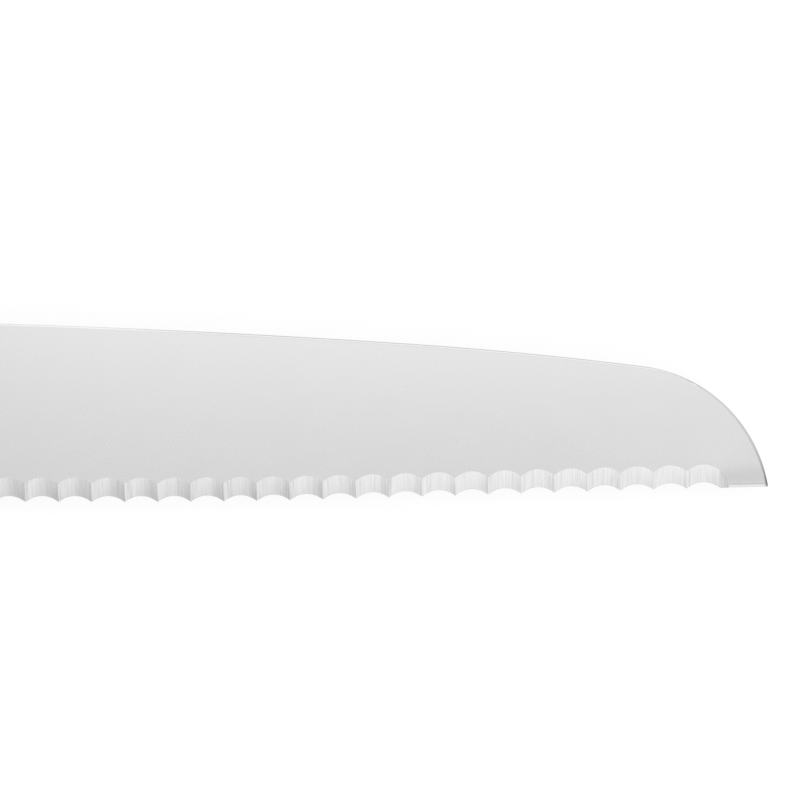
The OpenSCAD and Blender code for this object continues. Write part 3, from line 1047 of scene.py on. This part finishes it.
chamfer = size["Inner chamfer"]
bend = part("wall", "round") * (math.pi / 2)
inset = chamfer * (1 - part("inner", "chamfer"))
inset = inset + size["Edge round"] * (1 - bend.cosine()) + part("round", "rim") * flat_rim
wall_height = size["Thickness"] - size["Edge round"]
skin_z = chamfer * part("inner", "chamfer") + (wall_height - chamfer) * part("chamfer", "wall")
skin_z = skin_z + size["Edge round"] * bend.sine()
inner_gather = 1 - row.share(0, 1)
outer_gather = part("rim", "middle")
gather = inner_gather + outer_gather
fall = (1 - outer_gather) * (1 - outer_gather)
skin_z = skin_z - size["Crown"] * fall * part("wall", "round")
skin_u = here[0] + inward_u * inset
skin_v = here[1] + inward_v * inset
skin_u = skin_u + (middle_u - skin_u) * gather
skin_v = skin_v + (middle_v - skin_v) * gather
skin_z = skin_z + size["Tang thickness"] * 0.5
skin = laid_out(skin, skin_u, skin_v, skin_z)
moulding = welded(skin, 0.002)

# Stepped holes, repeated at the three rivet places
places = add_node(tree, "GeometryNodeSeparateGeometry", {"domain": "POINT"},
                  Geometry=ring_points, Selection=noted("rivet place").above(0.5))


def drill(radius, bottom, top):
    """A closed cylinder at each rivet place, from one height to another."""
    bar = add_node(tree, "GeometryNodeMeshCylinder", Vertices=drill_sides, Radius=radius,
                   Depth=top - bottom)
    lift = add_node(tree, "ShaderNodeCombineXYZ", X=0, Y=0, Z=(top + bottom) * 0.5)
    up = add_node(tree, "GeometryNodeTransform", Geometry=bar.outputs["Mesh"],
                  Translation=lift.outputs[0])
    drills = add_node(tree, "GeometryNodeInstanceOnPoints", Points=places.outputs[0],
                      Instance=up.outputs[0])
    return add_node(tree, "GeometryNodeRealizeInstances", Geometry=drills.outputs[0]).outputs[0]


inner_z = size["Tang thickness"] * 0.5
outer_z = inner_z + size["Thickness"]
for hole, bottom, top in (
        ("Head hole radius", outer_z - size["Head hole depth"], outer_z + head_overrun),
        ("Shank hole radius", inner_z - shank_overrun, outer_z + shank_overrun)):
    cut = add_node(tree, "GeometryNodeMeshBoolean",
                   {"operation": "DIFFERENCE", "solver": "EXACT"},
                   Mesh_1=moulding, Mesh_2=drill(size[hole], bottom, top))
    moulding = cut.outputs[0]

# The left scale is the right one mirrored through the tang
x, y, z = parts_of(own_place())
moulding = laid_out(moulding, (x - row_origin[0]) * mm, (y - row_origin[1]) * mm,
                    (z * size["Side"] - row_origin[2]) * mm)
moulding = add_node(tree, "GeometryNodeFlipFaces", Mesh=moulding,
                    Selection=(size["Side"] * -1).above(0)).outputs[0]
moulding = shaded(moulding, 30)

# Black plastic as it comes from a spark-eroded mould: even, matt and very finely grained
plastic = Finish("matt black moulded plastic", 0, 0.48)
grain = plastic.grain(3.2, 3.2, 3.2, 3.0, 0.6)
pits = plastic.grain(7.5, 7.5, 7.5)
wear = plastic.grain(0.05, 0.08, 0.08, 3.0, 0.55)
plastic.grey(0.020 + (wear - 0.5) * 0.010 + (grain - 0.5) * 0.006)
plastic.rough(0.47 + (wear - 0.5) * 0.16 + (pits - 0.5) * 0.10)
plastic.relief(grain * 0.6 + pits * 0.4, 0.018)

end_tree(moulding, plastic)

for side_name, side in (("right", 1), ("left", -1)):
    scale = grown(f"plastic_scale_{side_name}", scale_ring, tree, {**scale_sizes, "Side": side})
    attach(scale, "root")
    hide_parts(f"scale_{side_name}")

# Each cutler's rivet is stainless and in two halves: a headed pin from the right is driven into
# a headed tube from the left. The heads are ground flush and brushed along the handle.
rivet_sizes = {
    "Head radius": rivet_head / 2,
    "Head height": rivet_head_height,
    "Rim chamfer": 0.12,
    "Shank radius": rivet_pin / 2,
    "Bore radius": 0,
    "Length": 2 * grip_z - rivet_head_height - rivet_end_gap,
    "Head at": grip_z,
    "Side": 1,
}
tree, place_points, size = new_tree("turned rivet half", rivet_sizes)

# The lathe turns a profile from the middle of the head's face to the middle of the far end
lathe_steps = 96
has_bore = size["Bore radius"].above(0)
bore_floor = has_bore.pick(size["Head height"], size["Length"])
head_inner = size["Head radius"] - size["Rim chamfer"]
profile = [
    (0, 0),
    (head_inner * 0.5, 0),
    (head_inner, 0),
    (size["Head radius"], size["Rim chamfer"]),
    (size["Head radius"], size["Head height"]),
    (size["Shank radius"], size["Head height"]),
    (size["Shank radius"], size["Length"]),
    (size["Bore radius"], size["Length"]),
    (size["Bore radius"], bore_floor),
    (0, bore_floor),
]
lathe, column, row = new_grid(lathe_steps + 1, len(profile))
radius = 0
depth = 0
for number, (profile_radius, profile_depth) in enumerate(profile):
    here = row.between(number, number)
    radius = radius + here * profile_radius
    depth = depth + here * profile_depth
turn = column * (math.pi * 2 / lathe_steps)
turned = laid_out(lathe, radius * turn.cosine() * mm, radius * turn.sine() * mm,
                  (size["Head at"] - depth) * size["Side"] * mm)
turned = add_node(tree, "GeometryNodeFlipFaces", Mesh=welded(turned, 0.001 * mm),
                  Selection=size["Side"].above(0))
rivets = add_node(tree, "GeometryNodeInstanceOnPoints", Points=place_points,
                  Instance=shaded(turned.outputs[0], 30))

# Brushed along the handle: fine lines run lengthways over the heads
rivet_finish = Finish("brushed rivet steel", 1, 0.28)
brushing = rivet_finish.grain(0.35, 9, 9, 3.0, 0.6)
hairs = rivet_finish.grain(0.6, 24, 24)
rivet_finish.grey(steel_grey * (0.98 + (brushing - 0.5) * 0.22 + (hairs - 0.5) * 0.12))
rivet_finish.rough(0.30 + (brushing - 0.5) * 0.16)
rivet_finish.relief(brushing * 0.6 + hairs * 0.4, 0.004)
end_tree(rivets.outputs[0], rivet_finish)

tube_sizes = {"Shank radius": rivet_shank / 2, "Bore radius": rivet_pin / 2 + rivet_fit,
              "Side": -1}
for place_name, spot in zip(("front", "middle", "rear"), rivet_places):
    in_row = [(spot[axis] - row_origin[axis]) * mm for axis in range(3)]
    rivet_place = bpy.data.meshes.new(place_name + " rivet place")
    rivet_place.from_pydata([in_row], [], [])
    for half, changes in (("pin", {}), ("tube", tube_sizes)):
        rivet = grown(f"{place_name}_rivet_{half}_turned", rivet_place, tree,
                      {**rivet_sizes, **changes})
        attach(rivet, "root")
        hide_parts(f"{place_name}_rivet_{half}")
